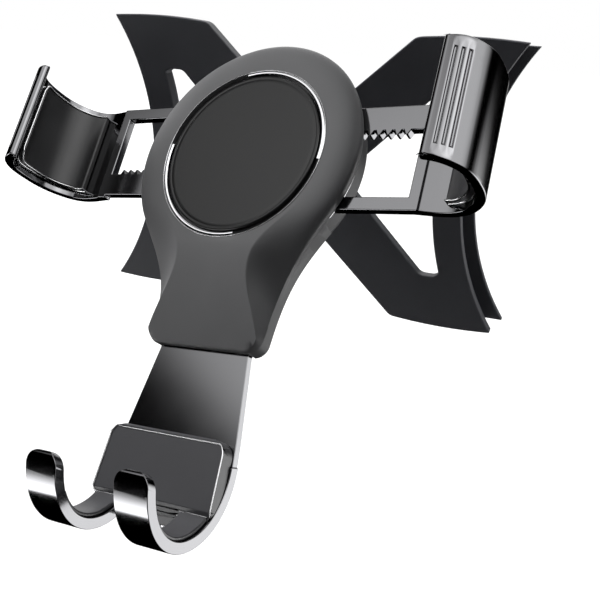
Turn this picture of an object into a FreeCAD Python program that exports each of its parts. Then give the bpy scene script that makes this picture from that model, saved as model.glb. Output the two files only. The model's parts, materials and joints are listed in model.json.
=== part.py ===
import FreeCAD, Part
import math
import os

# Gravity phone holder for fitting between two round air vents.
# Row frame: origin on the rear face of the bracket hub, +Y into the dashboard,
# +Z up. The head is drawn in its own frame (origin at the middle of its disc,
# x right, y back, z up) and is then placed on the ball at its rest pose.

doc = FreeCAD.newDocument("phone_holder")
sheet = doc.addObject("Spreadsheet::Sheet", "sizes")
V = FreeCAD.Vector

SIZES = [
    # Head shell
    ("head_radius", 31.6), ("bulge_depth", 2.3), ("seam_radius", 30.3),
    ("face_radius", 24.4), ("seam_depth", 5.4),
    ("head_depth", 12.0), ("shell_wall", 1.8), ("rear_radius", 29.2),
    ("rear_plate", 2.1), ("rear_step", 3.0), ("step_radius", 27.6),
    ("neck_length", 49.3), ("neck_half", 16.4),
    ("neck_plate", 1.4), ("neck_inset", 1.4), ("neck_start", 8.0),
    ("blend_start", 17.4), ("blend_end", 38.0), ("neck_rim_back", 8.4),
    ("neck_fall", 5.2), ("rim_depth", 6.6), ("waist_half", 9.6),
    # Disc and ring
    ("disc_radius", 21.5), ("disc_thick", 1.3), ("ring_outer", 23.0),
    ("ring_inner", 21.6), ("ring_start", -7.0), ("ring_sweep", 109.0),
    # Gear train
    ("pinion_height", 1.84), ("tooth_module", 0.75), ("pinion_teeth", 12.0),
    ("backlash", 0.24), ("pinion_bore", 1.25), ("travel", 13.5),
    ("rail_front", 4.5), ("rail_thick", 2.4), ("plate_front", 7.4),
    ("plate_thick", 2.0), ("rail_outer", 11.6), ("guide_inner", 11.9),
    ("guide_outer", 15.2), ("layer_gap", 0.3), ("running_gap", 0.05),
    # Side clamps
    ("clamp_root", 46.4), ("clamp_reach", 65.8), ("clamp_front", 19.3),
    ("clamp_wall", 2.2), ("clamp_pad", 1.7), ("clamp_below", 12.4),
    # Gravity arm
    ("arm_half", 13.0), ("arm_flare", 16.0), ("arm_foot", 16.8),
    ("shield_top", 70.0), ("shield_low", 90.3), ("shield_thick", 4.4),
    ("hook_low", 95.0), ("hook_front", 19.6), ("hook_tip", 82.6),
    ("hook_wall", 2.5), ("hook_width", 8.8), ("hook_liner", 0.9),
    # Ball joint
    ("ball_radius", 6.0), ("ball_back", 19.5), ("seat_wall", 1.2), ("seat_angle", 49.0),
    ("socket_radius", 9.0), ("socket_end", 21.7), ("nut_radius", 12.0),
    ("stud_neck", 2.3), ("stud_flange", 8.0), ("ball_out", 28.0),
    ("rest_tilt", 37.5), ("rest_turn", 15.0),
    # Bracket between the vents
    ("bracket_depth", 12.0), ("bracket_half", 58.0), ("bracket_high", 38.5),
    ("bracket_plate", 4.0), ("vent_radius", 68.0), ("arm_corner", 29.5),
    ("wing_bulge", 1.4),
    ("grip_width", 7.8), ("rib_thick", 2.4), ("flange_over", 2.4), ("flange_thick", 2.5),
    ("hub_radius", 14.0),
    # Screws
    ("screw_radius", 0.9), ("screw_head", 1.7), ("mount_screw", 2.0),
]
for row, (alias, size) in enumerate(SIZES, start=1):
    sheet.set("A%d" % row, alias)
    sheet.set("B%d" % row, repr(size))
    sheet.setAlias("B%d" % row, alias)
doc.recompute()


def val(alias):
    return float(getattr(sheet, alias))


# Shape helpers

def box(x0, x1, y0, y1, z0, z1):
    solid = Part.makeBox(x1 - x0, y1 - y0, z1 - z0)
    solid.translate(V(x0, y0, z0))
    return solid


def rod(radius, y0, y1, x=0.0, z=0.0):
    return Part.makeCylinder(radius, y1 - y0, V(x, y0, z), V(0, 1, 0))


def ball(radius, x, y, z):
    solid = Part.makeSphere(radius)
    solid.translate(V(x, y, z))
    return solid


def bezier(points):
    curve = Part.BezierCurve()
    curve.setPoles(points)
    return curve.toShape()


def spline(points):
    curve = Part.BSplineCurve()
    curve.interpolate(points)
    return curve.toShape()


def arc(a, b, c):
    return Part.Arc(a, b, c).toShape()


def line(a, b):
    return Part.makeLine(a, b)


def polygon(points):
    return Part.Face(Part.makePolygon(points + [points[0]]))


def rounded(points, radius):
    """Closed face in the XZ plane with each corner rounded by an arc."""
    edges = []
    count = len(points)
    ends = []
    for i in range(count):
        before, here, after = points[i - 1], points[i], points[(i + 1) % count]
        size = radius[i] if isinstance(radius, (list, tuple)) else radius
        one = (before - here).normalize()
        two = (after - here).normalize()
        angle = one.getAngle(two)
        cut = size / math.tan(angle / 2)
        middle = (one + two).normalize()
        centre = here + middle * (size / math.sin(angle / 2))
        ends.append((here + one * cut, centre - middle * size, here + two * cut))
    for i in range(count):
        start, top, stop = ends[i]
        edges.append(arc(start, top, stop))
        nearer = ends[(i + 1) % count][0]
        if (nearer - stop).Length > 1e-4:
            edges.append(line(stop, nearer))
    return Part.Face(Part.Wire(edges))


def mirrored(solid):
    return solid.mirror(V(0, 0, 0), V(1, 0, 0))


def half_turn(solid):
    """Turn by 180 degrees about the pinion axis."""
    turned = solid.copy()
    turned.rotate(V(0, 0, val("pinion_height")), V(0, 1, 0), 180)
    return turned


def band(points, wall, side):
    """Face between a curve through points (x, y) and its offset."""
    curve = Part.BSplineCurve()
    curve.interpolate([V(x, y, 0) for x, y in points])
    first = curve.FirstParameter
    last = curve.LastParameter
    outer = []
    inner = []
    steps = 28
    for i in range(steps + 1):
        t = first + (last - first) * i / steps
        at, along = curve.getD1(t)
        along.normalize()
        normal = V(-along.y, along.x, 0) * side
        outer.append(at)
        inner.append(at + normal * wall)
    return outer, inner


def band_face(outer, inner):
    tip = (outer[-1] + inner[-1]) * 0.5
    over = (outer[-1] - outer[-2]).normalize() * ((outer[-1] - inner[-1]).Length / 2)
    edges = [spline(outer), arc(outer[-1], tip + over, inner[-1]),
             spline(inner), line(inner[0], outer[0])]
    return Part.Face(Part.Wire(Part.__sortEdges__(edges)))


# Placement of the head on its ball

BALL_ROW = V(0, -val("ball_out"), 0)
HEAD_TURN = FreeCAD.Rotation(V(1, 0, 0), -val("rest_tilt")).multiply(
    FreeCAD.Rotation(V(0, 0, 1), -val("rest_turn")))
BALL_HEAD = V(0, val("ball_back"), val("pinion_height"))
HEAD_PLACE = FreeCAD.Placement(BALL_ROW - HEAD_TURN.multVec(BALL_HEAD), HEAD_TURN)
ROW_PLACE = FreeCAD.Placement()
parts = []


def plain(solid):
    """Join split faces, or leave the shape where they can't be joined."""
    try:
        joined = solid.removeSplitter()
    except Part.OCCError:
        return solid
    return joined if joined.isValid() else solid


def keep(name, solid, place):
    """Make the named sub-part from one clean solid."""
    solid = plain(solid)
    if len(solid.Solids) == 1:
        solid = solid.Solids[0]
    else:
        solid = max(solid.Solids, key=lambda one: one.Volume)
        print("several solids in", name, [round(one.Volume, 2) for one in solid.Solids],
              [tuple(round(c, 1) for c in one.CenterOfMass) for one in solid.Solids])
    feature = doc.addObject("Part::Feature", name)
    feature.Shape = solid
    feature.Placement = place.multiply(solid.Placement)
    feature.Label = name
    parts.append(feature)
    return solid


# Heights and depths that several sub-parts share

PINION_Z = val("pinion_height")
RAIL_BACK = val("rail_front") + val("rail_thick")
PLATE_BACK = val("plate_front") + val("plate_thick")
REAR_IN = val("head_depth") - val("rear_plate")
GAP = val("layer_gap")
STEP_BACK = val("head_depth") + val("rear_step")


# Head shell

NECK_CORNER = 3.5
NECK_LEAVE = math.radians(-31.6)


def neck_poles(inset, y):
    """Poles of the curve that takes the round head into the neck."""
    radius = val("seam_radius") - inset
    start = V(radius * math.cos(NECK_LEAVE), y, radius * math.sin(NECK_LEAVE))
    along = V(math.sin(NECK_LEAVE), 0, -math.cos(NECK_LEAVE))
    stop = V(val("neck_half") - inset, y, NECK_CORNER - val("neck_length") + inset)
    return [start, start + along * 12, stop + V(0.7, 0, 14), stop]


def on_curve(poles, part):
    """Point at a share of a curve given by its poles."""
    points = list(poles)
    while len(points) > 1:
        points = [a * (1 - part) + b * part for a, b in zip(points, points[1:])]
    return points[0]


def outline_half(z):
    """Half width of the seam outline at height z."""
    poles = neck_poles(0, 0)
    if z > poles[0].z:
        return math.sqrt(val("seam_radius") ** 2 - z ** 2)
    if z < poles[-1].z:
        return val("neck_half")
    low, high = 0.0, 1.0
    for _ in range(40):
        middle = (low + high) / 2
        if on_curve(poles, middle).z > z:
            low = middle
        else:
            high = middle
    return on_curve(poles, low).x


def outline(inset, y):
    """Teardrop outline of the head: a circle that runs into the neck."""
    radius = val("seam_radius") - inset
    half = val("neck_half") - inset
    length = val("neck_length") - inset
    corner = NECK_CORNER
    poles = neck_poles(inset, y)
    start, stop = poles[0], poles[-1]
    flip = [V(-p.x, p.y, p.z) for p in poles]
    turn = corner * math.cos(math.radians(45))
    low = V(half - corner, y, -length)
    knee = V(half - corner + turn, y, -(length - corner) - turn)
    edges = [
        arc(start, V(0, y, radius), V(-start.x, y, start.z)),
        bezier(flip),
        arc(flip[3], V(-knee.x, y, knee.z), V(-low.x, y, low.z)),
        line(V(-low.x, y, low.z), low),
        arc(low, knee, stop),
        bezier(poles),
    ]
    return Part.Face(Part.Wire(Part.__sortEdges__(edges)))


def turned_face(points, curves):
    """Solid turned about the y axis from its profile in the XY plane."""
    edges = [line(points[i], points[i + 1]) for i in range(len(points) - 1)]
    face = Part.Face(Part.Wire(Part.__sortEdges__(edges + curves)))
    return face.revolve(V(0, 0, 0), V(0, 1, 0), 360)


def puck(radius, flat, front, back):
    """Disc with a rounded front edge."""
    curve = bezier([V(flat, front, 0),
                    V(flat + (radius - flat) * 0.55, front + 0.05, 0),
                    V(radius - (radius - flat) * 0.05, front + (back - front) * 0.4, 0),
                    V(radius, back, 0)])
    points = [V(radius, back, 0), V(0, back, 0), V(0, front, 0), V(flat, front, 0)]
    return turned_face(points, [curve])


def belly_poles():
    """Front edge of the head: from the flat face to its widest, as (radius, y)."""
    flat, belly, depth = val("face_radius"), val("head_radius"), val("bulge_depth")
    return [V(flat, 0, 0), V(flat + (belly - flat) * 0.62, 0.03, 0),
            V(belly, depth * 0.35, 0), V(belly, depth, 0)]


def tuck_poles():
    """From the widest of the head in to the seam, as (radius, y)."""
    belly, depth, seam = val("head_radius"), val("bulge_depth"), val("seam_depth")
    return [V(belly, depth, 0), V(belly, (depth + seam) / 2, 0),
            V(val("seam_radius"), seam, 0)]


def bellied_puck():
    """Round head whose edge swells and tucks in again at the seam."""
    flat, back = val("face_radius"), val("seam_depth")
    points = [V(val("seam_radius"), back, 0), V(0, back, 0), V(0, 0, 0), V(flat, 0, 0)]
    return turned_face(points, [bezier(belly_poles()), bezier(tuck_poles())])


FLANK_OUT = [0.0, 0.07, 0.18, 0.34, 0.55, 0.78, 1.0]
FLANK_BACK = [0.0, 0.30, 0.55, 0.76, 0.90, 0.97, 1.0]


def eased(value, low, high):
    part = min(1.0, max(0.0, (value - low) / (high - low)))
    return part * part * (3 - 2 * part)


def neck_section(z):
    """Outline of the head at height z: round edge above, scooped flank below."""
    share = eased(-z, val("blend_start"), val("blend_end"))
    level = min(-z, val("blend_start"))
    half = outline_half(z)
    flat = math.sqrt(max(0.0, val("face_radius") ** 2 - z ** 2))
    down = (-z - val("face_radius")) / (val("neck_length") - val("face_radius"))
    waist = val("waist_half")
    crease = waist + (val("neck_half") - 0.35 - waist) * min(1.0, max(0.0, down)) ** 0.9
    crease = max(flat, crease)
    top = val("neck_fall") * max(0.0, down) ** 1.5
    widest = math.sqrt(val("head_radius") ** 2 - level ** 2)
    widest = half + (widest - math.sqrt(val("seam_radius") ** 2 - level ** 2)) * (1 - share)
    rim = val("bulge_depth") + (val("rim_depth") - val("bulge_depth")) * share
    tuck = val("seam_depth") + (val("neck_rim_back") - val("seam_depth")) * share
    back = REAR_IN
    inner = math.sqrt(val("face_radius") ** 2 - level ** 2)
    outer = math.sqrt(val("head_radius") ** 2 - level ** 2)
    flank = []
    for i in range(len(FLANK_OUT)):
        point = on_curve(belly_poles(), i / (len(FLANK_OUT) - 1))
        round_out = (math.sqrt(point.x ** 2 - level ** 2) - inner) / (outer - inner)
        out = round_out * (1 - share) + FLANK_OUT[i] * share
        fall = point.y / val("bulge_depth") * (1 - share) + FLANK_BACK[i] * share
        flank.append(V(crease + (widest - crease) * out, top + (rim - top) * fall, z))
    under = []
    for i in range(4):
        point = on_curve(tuck_poles(), i / 3)
        out = (point.x - val("seam_radius")) / (val("head_radius") - val("seam_radius"))
        fall = (point.y - val("bulge_depth")) / (val("seam_depth") - val("bulge_depth"))
        under.append(V(half + (widest - half) * out, rim + (tuck - rim) * fall, z))
    flip = [[V(-p.x, p.y, p.z) for p in lot] for lot in (flank, under)]
    edges = [line(V(-half, back, z), V(half, back, z)),
             line(V(half, back, z), under[-1]), spline(list(reversed(under))),
             spline(list(reversed(flank))), line(flank[0], flip[0][0]),
             spline(flip[0]), spline(flip[1]), line(flip[1][-1], V(-half, back, z))]
    return Part.Wire(edges)


def neck_loft():
    """Lower half of the head, down to the end of the neck."""
    first = -val("neck_start")
    last = -(val("neck_length") + 1.0)
    steps = 9
    sections = [neck_section(first + (last - first) * i / steps) for i in range(steps + 1)]
    solid = Part.makeLoft(sections, True, False)
    low = -val("blend_end") - 2.0
    trim = box(-60, 60, -5, 40, low, 0).fuse(outline(0, -5).extrude(V(0, 40, 0)))
    return solid.common(trim)


NECK_TOP = -16.9
TOP_SCREWS = [(14.6, 22.0), (-14.6, 22.0)]
NECK_SCREW_Z = 16.3 - val("neck_length")
NECK_SCREWS = [(15.2, NECK_SCREW_Z), (-15.2, NECK_SCREW_Z)]
NECK_BACK = REAR_IN + val("neck_plate")


def rail_windows():
    """Openings in the shell for the four rails."""
    reach = val("head_radius") + 6
    front = val("rail_front") - GAP
    back = RAIL_BACK + GAP
    inner = val("tooth_module") * val("pinion_teeth") / 2 - 1.2
    cuts = []
    for side in (1, -1):
        outer_x = sorted([side * 15.0, side * reach])
        tooth = sorted([PINION_Z + side * inner,
                        PINION_Z + side * (val("rail_outer") + GAP)])
        guide = sorted([PINION_Z - side * (val("guide_inner") - GAP),
                        PINION_Z - side * (val("guide_outer") + GAP)])
        cuts.append(box(outer_x[0], outer_x[1], front, back, tooth[0], tooth[1]))
        cuts.append(box(outer_x[0], outer_x[1], front, back, guide[0], guide[1]))
    return cuts


def front_cover():
    seam = val("seam_depth")
    wall = val("shell_wall")
    solid = bellied_puck().common(box(-60, 60, -5, 40, -val("neck_start"), 60))
    solid = solid.fuse([neck_loft()], 0.01)
    # Hollow behind the face
    hollow = puck(val("seam_radius") - wall * 1.5, val("face_radius") - 1.0, 2.5, seam + 9)
    room = box(-60, 60, 0, 40, NECK_TOP, 60)
    solid = solid.cut(hollow.common(room))
    top_rest = box(-60, 60, seam, 40, NECK_TOP, 60)
    solid = solid.cut(top_rest)
    # Slot for the gravity arm
    half = val("arm_half") + GAP
    slot = box(-half, half, val("plate_front") - GAP, 40, -90, NECK_TOP + 6)
    solid = solid.cut(slot)
    # Recess for the disc and its ring, and the axle boss
    solid = solid.cut(rod(val("ring_outer") + 0.05, -1, val("disc_thick")))
    solid = solid.fuse(rod(2.6, 2.4, val("rail_front") - GAP, 0, PINION_Z))
    for x, z in TOP_SCREWS:
        solid = solid.fuse(rod(2.3, 2.4, seam + 1.4, x, z).common(
            rod(val("rear_radius") - wall - 0.15, 0, 20)))
    solid = solid.cut(rod(val("pinion_bore") - 0.04, 1.6, 6, 0, PINION_Z))
    for x, z in TOP_SCREWS + NECK_SCREWS:
        deep = seam - 2.2 if z > 0 else REAR_IN - 2.6
        solid = solid.cut(rod(val("screw_radius") + 0.02, deep, 30, x, z))
    for cut in rail_windows():
        solid = solid.cut(cut)
    return solid


def rear_cover():
    radius = val("rear_radius")
    seam = val("seam_depth")
    wall = val("shell_wall")
    depth = val("head_depth")
    plate = outline(val("neck_inset"), REAR_IN).extrude(V(0, val("neck_plate"), 0))
    neck_side = box(-60, 60, 0, 40, -120, -radius * 0.5)
    disc = rod(radius, seam, depth)
    edge = [e for e in disc.Edges if abs(e.CenterOfMass.y - depth) < 1e-6
            and e.Length > radius]
    disc = disc.makeFillet(1.6, edge)
    step = rod(val("step_radius"), depth - 0.5, STEP_BACK)
    edge = [e for e in step.Edges if abs(e.CenterOfMass.y - STEP_BACK) < 1e-6
            and e.Length > radius]
    disc = disc.fuse(step.makeFillet(2.4, edge))
    disc = disc.fuse(rod(radius + 0.7, seam, seam + 1.3))
    disc = disc.cut(rod(radius - wall, seam - 1, REAR_IN))
    low = box(-60, 60, 0, REAR_IN, -120, NECK_TOP + 0.1)
    solid = disc.cut(low).fuse(plate.common(neck_side))
    # Screw bosses, axle boss and guide ribs for the slider
    for x, z in TOP_SCREWS:
        solid = solid.fuse(rod(2.3, seam + 1.45, REAR_IN + 0.1, x, z).common(
            rod(radius - 0.5, 0, 20)))
    solid = solid.fuse(rod(2.6, PLATE_BACK + 0.35, REAR_IN + 0.1, 0, PINION_Z))
    # Socket for the ball, slotted into fingers
    centre = val("ball_back")
    socket = rod(val("socket_radius"), STEP_BACK - 0.1, val("socket_end"), 0, PINION_Z)
    solid = solid.fuse(socket)
    seat = val("ball_radius") + 0.1 + val("seat_wall") + 0.1
    solid = solid.cut(ball(seat, 0, centre, PINION_Z))
    solid = solid.cut(rod(seat + 0.42, centre + 0.3, 40, 0, PINION_Z))
    for i in range(4):
        slit = box(-0.6, 0.6, centre - 2.6, 40, 0, 30)
        slit.rotate(V(0, 0, 0), V(0, 1, 0), 45 + 90 * i)
        slit.translate(V(0, 0, PINION_Z))
        solid = solid.cut(slit)
    # Screw ways and the axle hole
    for x, z in TOP_SCREWS + NECK_SCREWS:
        back = depth if z > 0 else NECK_BACK
        solid = solid.cut(rod(val("screw_radius") + 0.05, 0, 40, x, z))
        solid = solid.cut(rod(val("screw_head") + 0.1, back - 0.9, 40, x, z))
    solid = solid.cut(rod(val("pinion_bore") - 0.04, 5, depth - 1.1, 0, PINION_Z))
    for cut in rail_windows():
        solid = solid.cut(cut)
    return solid


def ring_arc(start):
    outer = val("ring_outer")
    inner = val("ring_inner")
    ring = rod(outer, -0.12, val("disc_thick")).cut(rod(inner, -2, 5))
    reach = outer * 3
    sweep = val("ring_sweep")
    points = [V(0, 0, 0)]
    for i in range(7):
        angle = math.radians(start + sweep * i / 6)
        points.append(V(reach * math.cos(angle), 0, reach * math.sin(angle)))
    wedge = polygon(points).extrude(V(0, 12, 0))
    wedge.translate(V(0, -6, 0))
    return ring.common(wedge)


def cover_screw(x, z):
    depth = val("head_depth") if z > 0 else NECK_BACK
    low = val("seam_depth") - 2.0 if z > 0 else REAR_IN - 2.4
    shank = rod(val("screw_radius"), low, depth - 0.9, x, z)
    head = rod(val("screw_head"), depth - 0.9, depth - 0.1, x, z)
    cross = box(x - 1.1, x + 1.1, depth - 0.6, depth + 1, z - 0.22, z + 0.22)
    other = box(x - 0.22, x + 0.22, depth - 0.6, depth + 1, z - 1.1, z + 1.1)
    return shank.fuse(head).cut(cross).cut(other)


# Gear train

def flank_point(base, angle):
    return (base * (math.cos(angle) + angle * math.sin(angle)),
            base * (math.sin(angle) - angle * math.cos(angle)))


PRESSURE = math.radians(25)
PITCH_R = val("tooth_module") * val("pinion_teeth") / 2
ADDENDUM = 0.7 * val("tooth_module")
DEDENDUM = 1.05 * val("tooth_module")


def pinion():
    """Involute pinion, with one tooth straight up at rest."""
    count = int(round(val("pinion_teeth")))
    base = PITCH_R * math.cos(PRESSURE)
    tip = PITCH_R + ADDENDUM
    root = PITCH_R - DEDENDUM
    thick = math.pi * val("tooth_module") / 2 - val("backlash") / 2
    half = thick / (2 * PITCH_R) + math.tan(PRESSURE) - PRESSURE
    most = math.sqrt((tip / base) ** 2 - 1)
    points = []
    for tooth in range(count):
        middle = math.pi / 2 + 2 * math.pi * tooth / count
        side = []
        for i in range(5):
            x, y = flank_point(base, most * i / 4)
            side.append((math.hypot(x, y), math.atan2(y, x)))
        points.append((root, middle - half - 0.02))
        points += [(r, middle - half + a) for r, a in side]
        points += [(r, middle + half - a) for r, a in reversed(side)]
        points.append((root, middle + half + 0.02))
    y0 = val("rail_front") - 0.15
    y1 = PLATE_BACK + 0.2
    flat = [V(r * math.cos(a), y0, PINION_Z + r * math.sin(a)) for r, a in points]
    solid = polygon(flat).extrude(V(0, y1 - y0, 0))
    return solid.cut(rod(val("pinion_bore"), 0, 30, 0, PINION_Z))


def rack_teeth(first, last, y0, y1):
    """Teeth along x that mesh below the line, as seen above the pinion."""
    pitch = math.pi * val("tooth_module")
    base = PITCH_R + DEDENDUM
    tip = PITCH_R - ADDENDUM
    thick = pitch / 2 - val("backlash") / 2
    grow = math.tan(PRESSURE)
    low = thick / 2 - grow * ADDENDUM
    high = thick / 2 + grow * DEDENDUM
    solids = []
    number = int(math.ceil(first / pitch - 0.5))
    while (number + 0.5) * pitch + high <= last:
        x = (number + 0.5) * pitch
        if x - high >= first:
            face = polygon([V(x - high, y0, base + 0.2), V(x - high, y0, base),
                            V(x - low, y0, tip), V(x + low, y0, tip),
                            V(x + high, y0, base), V(x + high, y0, base + 0.2)])
            solids.append(face.extrude(V(0, y1 - y0, 0)))
        number += 1
    return solids


# Side arms, drawn for the right hand and turned for the left

def clamp_path():
    root = val("clamp_root")
    reach = val("clamp_reach")
    front = val("clamp_front")
    wide = reach - root
    deep = front + RAIL_BACK
    shape = [(0.0, 0.0), (0.16, -0.022), (0.36, -0.04), (0.62, -0.005),
             (0.84, 0.13), (0.965, 0.31), (1.0, 0.52), (0.965, 0.74),
             (0.83, 0.90), (0.60, 1.0)]
    return [(root + wide * a, RAIL_BACK - deep * b) for a, b in shape]


def clamp_body():
    low = PINION_Z - val("guide_outer")
    high = PINION_Z + val("clamp_below")
    outer, inner = band(clamp_path(), val("clamp_wall"), -1)
    solid = band_face(outer, inner).extrude(V(0, 0, high - low))
    solid.translate(V(0, 0, low))
    # Rounded corners at the lip, cut in side view
    tall = high - low
    front = -val("clamp_front")
    side = rounded([V(0, RAIL_BACK + 9, low), V(0, RAIL_BACK + 9, high),
                    V(0, front - 2.5, high), V(0, front - 2.5, low)],
                   [0.5, 0.5, min(4.5, tall / 5), min(4.5, tall / 5)])
    solid = solid.common(side.extrude(V(200, 0, 0)))
    # Three grooves down the lip
    for i in range(3):
        at = outer[-2 - i]
        solid = solid.cut(Part.makeCylinder(0.28, tall - 6, V(at.x, at.y, low + 3)))
    return solid, outer, inner


def right_arm():
    front = val("rail_front")
    root = val("clamp_root")
    solid, _, _ = clamp_body()
    line_z = PITCH_R + DEDENDUM
    rail = box(-3.0, root + 1.5, front, RAIL_BACK, PINION_Z + line_z,
               PINION_Z + val("rail_outer"))
    guide = box(8.0, root + 1.5, front, RAIL_BACK,
                PINION_Z - val("guide_outer"), PINION_Z - val("guide_inner"))
    bar = box(root - 1.2, root + 1.5, front, RAIL_BACK,
              PINION_Z - val("guide_outer"), PINION_Z + val("clamp_below"))
    solid = solid.fuse(bar).fuse(rail).fuse(guide)
    teeth = rack_teeth(-3.0, root - 4.0, front, RAIL_BACK)
    for tooth in teeth:
        tooth.translate(V(0, 0, PINION_Z))
    solid = solid.fuse(teeth)
    return solid


def clamp_pad():
    """Soft pad lying on the inner face of a clamp."""
    _, outer, inner = clamp_body()
    low = PINION_Z - val("guide_outer") + 2.3
    high = PINION_Z + val("clamp_below") - 2.3
    first = 5
    last = len(inner) - 3
    lay = []
    back = []
    for i in range(first, last):
        normal = (inner[i] - outer[i]).normalize()
        back.append(inner[i] + normal * 0.02)
        lay.append(inner[i] + normal * val("clamp_pad"))
    edges = [spline(back), line(back[-1], lay[-1]), spline(lay), line(lay[0], back[0])]
    face = Part.Face(Part.Wire(Part.__sortEdges__(edges)))
    solid = face.extrude(V(0, 0, high - low))
    solid.translate(V(0, 0, low))
    tall = high - low
    side = rounded([V(0, 30, low), V(0, 30, high),
                    V(0, lay[-1].y - 0.2, high), V(0, lay[-1].y - 0.2, low)],
                   [0.5, 0.5, min(3.0, tall / 6), min(3.0, tall / 6)])
    return solid.common(side.extrude(V(200, 0, 0)))


# Gravity slider: rack plate inside the head, arm and hooks below it

LAP_TOP = -21.0
LAP_LOW = -30.0


def slider_rack():
    y0 = val("plate_front")
    y1 = PLATE_BACK
    half = 9.5
    top = PINION_Z + PITCH_R + 1.1 + val("travel") + 2.4
    plate = box(-half, half, y0, y1, LAP_LOW + 0.1, top)
    line_x = PITCH_R + DEDENDUM
    window = box(-line_x, PITCH_R + 1.7, y0 - 1, y1 + 1,
                 PINION_Z - PITCH_R - 1.7, PINION_Z + PITCH_R + 1.1 + val("travel"))
    solid = plate.cut(window)
    limit = PITCH_R + val("travel") + 0.8
    teeth = rack_teeth(-PITCH_R - 1.0, limit, y0, y1)
    for tooth in teeth:
        tooth.rotate(V(0, 0, 0), V(0, 1, 0), -90)
        tooth.translate(V(0, 0, PINION_Z))
    solid = solid.fuse(teeth)
    middle = (y0 + y1) / 2
    solid = solid.cut(box(-6.1, 6.1, middle, y1 + 1, LAP_LOW - 1, LAP_TOP + 0.1))
    for x in (-3.4, 3.4):
        solid = solid.cut(rod(0.8, y0 - 1, y1 + 1, x, -25.5))
    return solid


def rack_screw(x):
    shank = rod(0.78, val("plate_front") + 0.15, PLATE_BACK - 0.5, x, -25.5)
    head = rod(1.4, PLATE_BACK - 0.5, PLATE_BACK, x, -25.5)
    slot = box(x - 1.0, x + 1.0, PLATE_BACK - 0.25, PLATE_BACK + 1, -25.68, -25.32)
    return shank.fuse(head).cut(slot)


def hook_path():
    low = val("hook_low")
    front = val("hook_front")
    tip = val("hook_tip")
    back = PLATE_BACK
    return [(back, -(tip - 8.0)), (back + 0.2, -(tip - 3.6)), (back - 1.0, -(tip + 1.9)),
            (back - 4.0, -(low - 5.4)), (back - 8.4, -(low - 1.8)), (-4.2, -low),
            (-9.4, -(low - 0.4)), (-front + 6.0, -(low - 2.6)),
            (-front + 3.0, -(tip + 6.6)), (-front + 1.0, -(tip + 3.0)), (-front, -tip)]


def hook_band(wall):
    """Curled strip in the YZ plane: outer and inner lines of the hook."""
    return band(hook_path(), wall, -1)


def swing(points):
    """From (y, z) held as (x, y) to the YZ plane."""
    return [V(0, p.x, p.y) for p in points]


def hooks():
    outer, inner = hook_band(val("hook_wall"))
    face = band_face(swing(outer), swing(inner))
    foot = val("arm_foot")
    width = val("hook_width")
    solid = face.extrude(V(width, 0, 0))
    solid.translate(V(foot - width, 0, 0))
    # Lip corners rounded in front view
    lip = rounded([V(foot - width, 0, -val("hook_low") - 2), V(foot, 0, -val("hook_low") - 2),
                   V(foot, 0, -val("hook_tip") + 1.2),
                   V(foot - width, 0, -val("hook_tip") + 1.2)], [0.4, 0.4, 3.2, 3.2])
    front = lip.extrude(V(0, 60, 0))
    front.translate(V(0, -60 - 2, 0))
    rear = box(-60, 60, -2, 60, -200, 0)
    solid = solid.common(front.fuse(rear))
    return solid, mirrored(solid)


def gravity_arm():
    y0 = val("plate_front")
    half = val("arm_half") - 0.1
    flare = val("arm_flare")
    foot = val("arm_foot")
    neck = -val("neck_length") - 0.7
    low = -(val("hook_tip") - 6.0)
    shield = -val("shield_top")
    points = [V(-half, y0, LAP_LOW), V(half, y0, LAP_LOW), V(half, y0, neck),
              V(flare, y0, shield), V(foot, y0, low), V(foot, y0, low - 2.2),
              V(-foot, y0, low - 2.2), V(-foot, y0, low), V(-flare, y0, shield),
              V(-half, y0, neck)]
    plate = polygon(points).extrude(V(0, val("plate_thick"), 0))
    middle = (y0 + PLATE_BACK) / 2
    tongue = box(-6.0, 6.0, middle + 0.02, PLATE_BACK, LAP_LOW - 1, LAP_TOP)
    solid = plate.fuse(tongue)
    one, two = hooks()
    solid = solid.fuse(one).fuse(two)
    bridge = rounded([V(-foot + 1, y0, low), V(foot - 1, y0, low),
                      V(foot - 1, y0, low - 9.0), V(-foot + 1, y0, low - 9.0)],
                     [0.4, 0.4, 3.0, 3.0]).extrude(V(0, val("plate_thick"), 0))
    solid = solid.fuse(bridge)
    for x in (-3.4, 3.4):
        solid = solid.cut(rod(0.85, y0 - 1, PLATE_BACK + 1, x, -25.5))
        solid = solid.cut(rod(1.45, PLATE_BACK - 0.5, PLATE_BACK + 1, x, -25.5))
    return solid


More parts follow.
